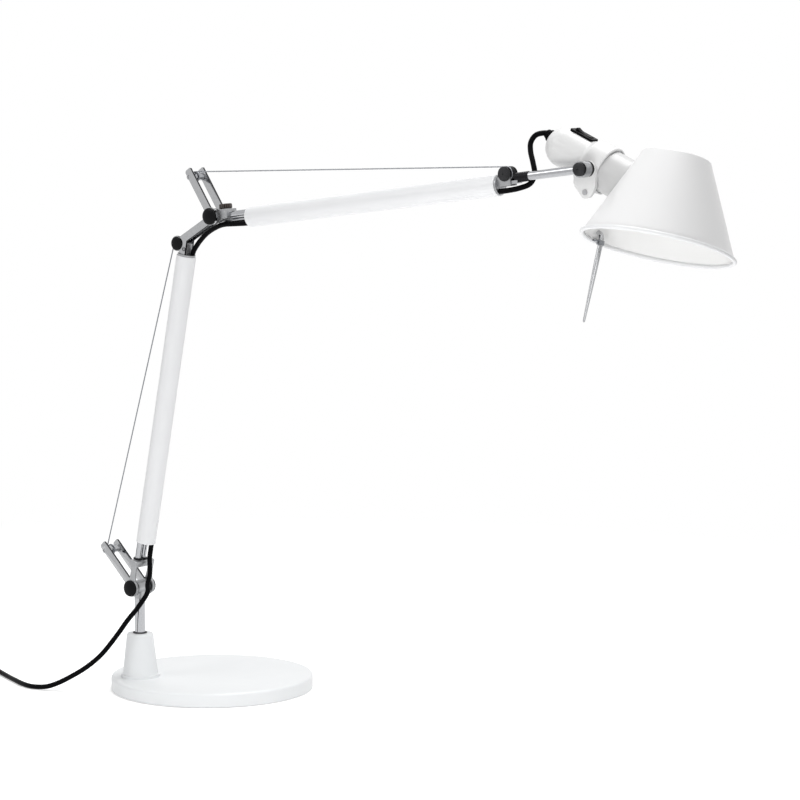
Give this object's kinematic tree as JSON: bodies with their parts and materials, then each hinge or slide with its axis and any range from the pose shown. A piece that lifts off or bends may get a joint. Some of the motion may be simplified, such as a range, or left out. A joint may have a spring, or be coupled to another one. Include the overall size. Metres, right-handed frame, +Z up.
{
  "type": "architect lamp",
  "caption": "Tall desk lamp with a weighted round base, a swivelling pole, spring-balanced tube arms with pulleys, and a conical shade that turns on a slim housing.",
  "frame": {"origin": "centre of the round base's underside, on the table", "axes": "+Z up; the arms lie in a vertical plane beside the base's centre and reach towards +X; +Y points from the arms to the lamp housing's side"},
  "size_m": [1.0474, 0.3007, 0.644],
  "materials": {
    "white_paint": "gloss",
    "iron_weight": "rough",
    "pad": "matte",
    "cast_alloy": "satin",
    "polished_steel": "polished",
    "pin_steel": "satin",
    "spring_steel": "satin",
    "black_cap": "gloss",
    "black_plug": "matte",
    "pulley_grey": "satin",
    "brown_screw": "satin",
    "switch_black": "satin",
    "holder_white": "gloss",
    "bulb_glass": "frosted",
    "cord_black": "satin"
  },
  "bodies": {
    "base": {"base_pad": "pad", "base_weight": "iron_weight", "base_cover": "white_paint", "boss": "white_paint", "boss_screws": "pin_steel", "pole_bush": "black_plug", "cord_free": "cord_black", "cord_coil": "cord_black", "plug": "black_plug", "plug_pins": "polished_steel"},
    "pole": {"pole": "polished_steel", "pole_head": "cast_alloy", "lower_pins": "pin_steel", "base_lever_plates": "polished_steel"},
    "lower_arm": {"lower_fork": "cast_alloy", "lower_rods": "polished_steel", "lower_end_plug": "black_plug", "lower_tube": "white_paint", "lower_spring": "spring_steel", "lower_joint_caps": "black_cap", "lower_top_plug": "cast_alloy", "lower_pulley_axle": "black_cap", "elbow_plates": "polished_steel", "elbow_pins": "pin_steel", "elbow_caps": "black_cap", "upper_lever_plates": "polished_steel", "cord_lower": "cord_black", "cord_joint": "cord_black", "lower_cable": "spring_steel", "cord_elbow": "cord_black"},
    "lower_pulley": {"lower_pulley": "pulley_grey"},
    "upper_arm": {"elbow_block": "cast_alloy", "upper_rods": "polished_steel", "upper_end_plug": "black_plug", "upper_tube": "white_paint", "upper_spring": "spring_steel", "upper_front_plug": "cast_alloy", "upper_pulley_axle": "black_cap", "head_rod": "polished_steel", "cord_upper": "cord_black", "cord_head": "cord_black", "upper_cable": "spring_steel"},
    "upper_pulley": {"upper_pulley": "pulley_grey"},
    "elbow_screw": {"elbow_screw": "brown_screw"},
    "head": {"head_bolt": "pin_steel", "head_spacer": "black_cap", "housing": "white_paint", "lug_screw": "pin_steel", "neck_ring": "pin_steel", "switch_frame": "switch_black", "cord_gland": "black_cap", "lamp_holder": "holder_white", "bulb": "bulb_glass"},
    "head_knob": {"head_knob": "black_cap"},
    "switch_rocker": {"switch_rocker": "switch_black"},
    "shade": {"shade_neck": "white_paint", "shade": "white_paint", "shade_rim": "white_paint", "handle": "polished_steel", "handle_clip": "polished_steel"}
  },
  "joints": [
    {"name": "pole_swivel", "type": "hinge", "parent": "base", "child": "pole", "pos_m": [-0.056, -0.06, 0.016], "axis": [0, 0, 1], "range_deg": [-180, 180], "deforming": ["cord_free"]},
    {"name": "lower_pivot", "type": "hinge", "parent": "pole", "child": "lower_arm", "pos_m": [-0.056, -0.06, 0.119], "axis": [0, 1, 0], "range_deg": [-20, 55], "deforming": ["cord_joint", "lower_cable"]},
    {"name": "elbow_pivot", "type": "hinge", "parent": "lower_arm", "child": "upper_arm", "pos_m": [0.06433, -0.06, 0.54276], "axis": [0, 1, 0], "range_deg": [-60, 50], "deforming": ["cord_elbow", "upper_cable"]},
    {"name": "head_tilt", "type": "hinge", "parent": "upper_arm", "child": "head", "pos_m": [0.54303, -0.06, 0.60323], "axis": [0, 1, 0], "range_deg": [-75, 45], "deforming": ["cord_head"]},
    {"name": "shade_turn", "type": "hinge", "parent": "head", "child": "shade", "pos_m": [0.53983, -0.024, 0.60465], "axis": [0.9143, 0, -0.4051], "range_deg": [-170, 170]},
    {"name": "rocker_tilt", "type": "hinge", "parent": "head", "child": "switch_rocker", "pos_m": [0.52039, -0.024, 0.63607], "axis": [0, 1, 0], "range_deg": [-12, 0]},
    {"name": "head_knob_turn", "type": "hinge", "parent": "head", "child": "head_knob", "pos_m": [0.54303, -0.06, 0.60323], "axis": [0, 1, 0], "continuous": true},
    {"name": "elbow_screw_turn", "type": "hinge", "parent": "upper_arm", "child": "elbow_screw", "pos_m": [0.07573, -0.06, 0.55226], "axis": [-0.1253, 0, 0.9921], "range_deg": [-90, 90]},
    {"name": "lower_pulley_turn", "type": "hinge", "parent": "lower_arm", "child": "lower_pulley", "pos_m": [0.01022, -0.06, 0.51109], "axis": [0, 1, 0], "continuous": true},
    {"name": "upper_pulley_turn", "type": "hinge", "parent": "upper_arm", "child": "upper_pulley", "pos_m": [0.45162, -0.06, 0.59673], "axis": [0, 1, 0], "continuous": true}
  ],
  "couplings": [
    {"joint": "lower_pulley_turn", "follows": "lower_pivot", "ratio": -7.1},
    {"joint": "upper_pulley_turn", "follows": "elbow_pivot", "ratio": -6.4}
  ]
}
